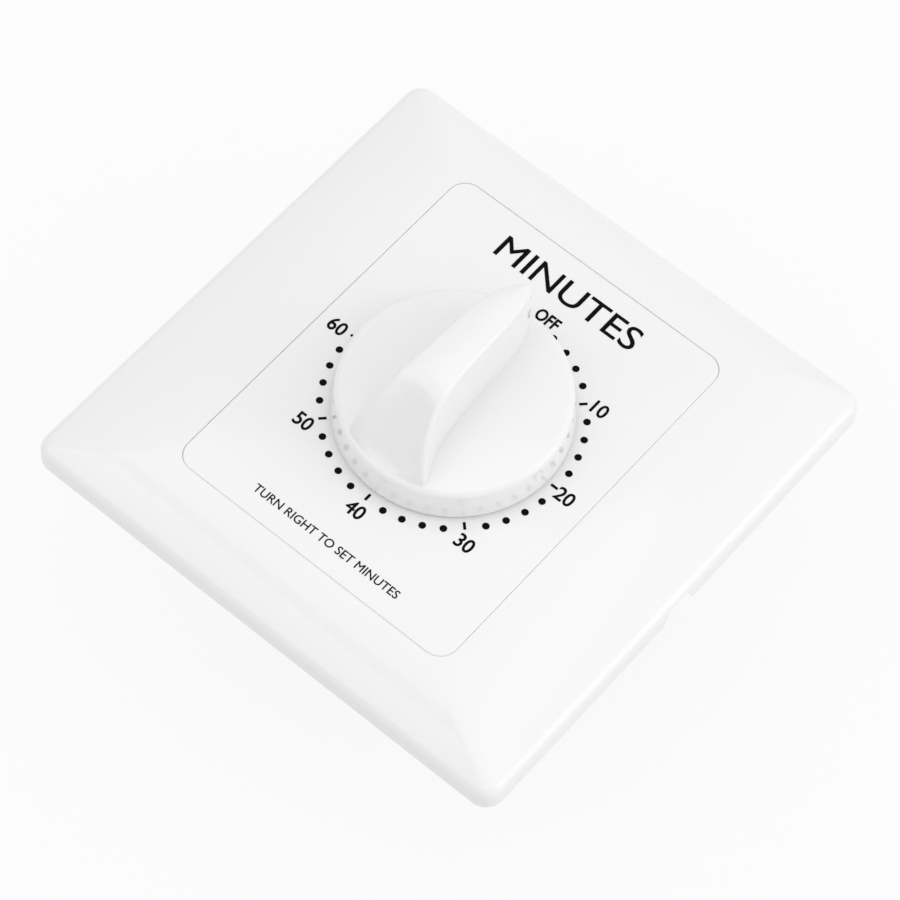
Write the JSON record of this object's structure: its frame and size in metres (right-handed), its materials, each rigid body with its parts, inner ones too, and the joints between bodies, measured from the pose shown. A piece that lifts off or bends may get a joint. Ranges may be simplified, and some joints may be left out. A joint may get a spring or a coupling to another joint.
{
  "type": "countdown timer switch",
  "caption": "Square wall plate with a flush dial panel and a round wedge-grip knob that winds a clockwork countdown switch in a case behind the plate.",
  "frame": {"origin": "centre of the plate on the wall plane, midway between the two fixing slots", "axes": "+Z out of the wall along the knob's shaft, +Y towards the dial's stop mark, +X to the right"},
  "size_m": [0.086, 0.086, 0.0555],
  "materials": {
    "frame_plastic": "glossy white",
    "panel_plastic": "glossy white",
    "knob_plastic": "glossy white",
    "dial_ink": "printed black",
    "base_plastic": "matt pale grey",
    "case_plastic": "fine matt black",
    "cam_plastic": "natural nylon",
    "plate_brass": "satin rolled brass",
    "terminal_brass": "bright brass",
    "steel": "turned steel",
    "spring_steel": "blued spring steel"
  },
  "bodies": {
    "plate": {"cover_frame": "frame_plastic", "dial_panel": "panel_plastic", "dial_marks": "dial_ink", "mounting_base": "base_plastic", "timer_case": "case_plastic", "case_screws": "steel", "front_plate": "plate_brass", "rear_plate": "plate_brass", "pillars": "plate_brass", "pillar_screws": "steel", "movement_screws": "steel", "front_bush": "plate_brass", "stop_pin": "steel", "mainspring": "spring_steel", "spring_post": "steel", "contact_leaf": "terminal_brass", "fixed_contact": "terminal_brass", "terminal_blocks": "terminal_brass", "terminal_screws": "steel", "terminal_rivets": "terminal_brass"},
    "knob": {"knob": "knob_plastic", "knob_clip": "spring_steel", "main_arbor": "steel", "stop_washer": "steel", "switch_cam": "cam_plastic", "cam_circlip": "steel", "clutch_spring": "spring_steel", "clutch_ring": "plate_brass"},
    "main_wheel": {"main_wheel": "plate_brass"},
    "second_wheel": {"second_wheel": "plate_brass", "second_pinion": "steel"},
    "third_wheel": {"third_wheel": "plate_brass", "third_pinion": "steel"},
    "escape_wheel": {"escape_wheel": "plate_brass", "escape_pinion": "steel"},
    "balance": {"pallet_lever": "steel", "balance_arbor": "steel", "balance_bar": "plate_brass"}
  },
  "joints": [
    {"name": "knob_turn", "type": "hinge", "parent": "plate", "child": "knob", "pos_m": [0, 0, 0], "axis": [0, 0, -1], "range_deg": [0, 270], "deforming": ["mainspring", "contact_leaf"]},
    {"name": "main_wheel_turn", "type": "hinge", "parent": "plate", "child": "main_wheel", "pos_m": [0, 0, 0], "axis": [0, 0, -1], "range_deg": [0, 270]},
    {"name": "second_wheel_turn", "type": "hinge", "parent": "plate", "child": "second_wheel", "pos_m": [0.00849, 0.00849, 0], "axis": [0, 0, -1], "range_deg": [-2430, 0]},
    {"name": "third_wheel_turn", "type": "hinge", "parent": "plate", "child": "third_wheel", "pos_m": [-0.00086, 0.01226, 0], "axis": [0, 0, -1], "range_deg": [0, 19440]},
    {"name": "escape_wheel_turn", "type": "hinge", "parent": "plate", "child": "escape_wheel", "pos_m": [-0.00899, 0.01155, 0], "axis": [0, 0, -1], "range_deg": [-145800, 0]},
    {"name": "balance_rock", "type": "hinge", "parent": "plate", "child": "balance", "pos_m": [-0.01444, 0.00773, 0], "axis": [0, 0, -1], "range_deg": [-4.5, 4.5]}
  ],
  "couplings": [
    {"joint": "main_wheel_turn", "follows": "knob_turn", "ratio": 1},
    {"joint": "second_wheel_turn", "follows": "knob_turn", "ratio": -9},
    {"joint": "third_wheel_turn", "follows": "knob_turn", "ratio": 72},
    {"joint": "escape_wheel_turn", "follows": "knob_turn", "ratio": -540}
  ]
}
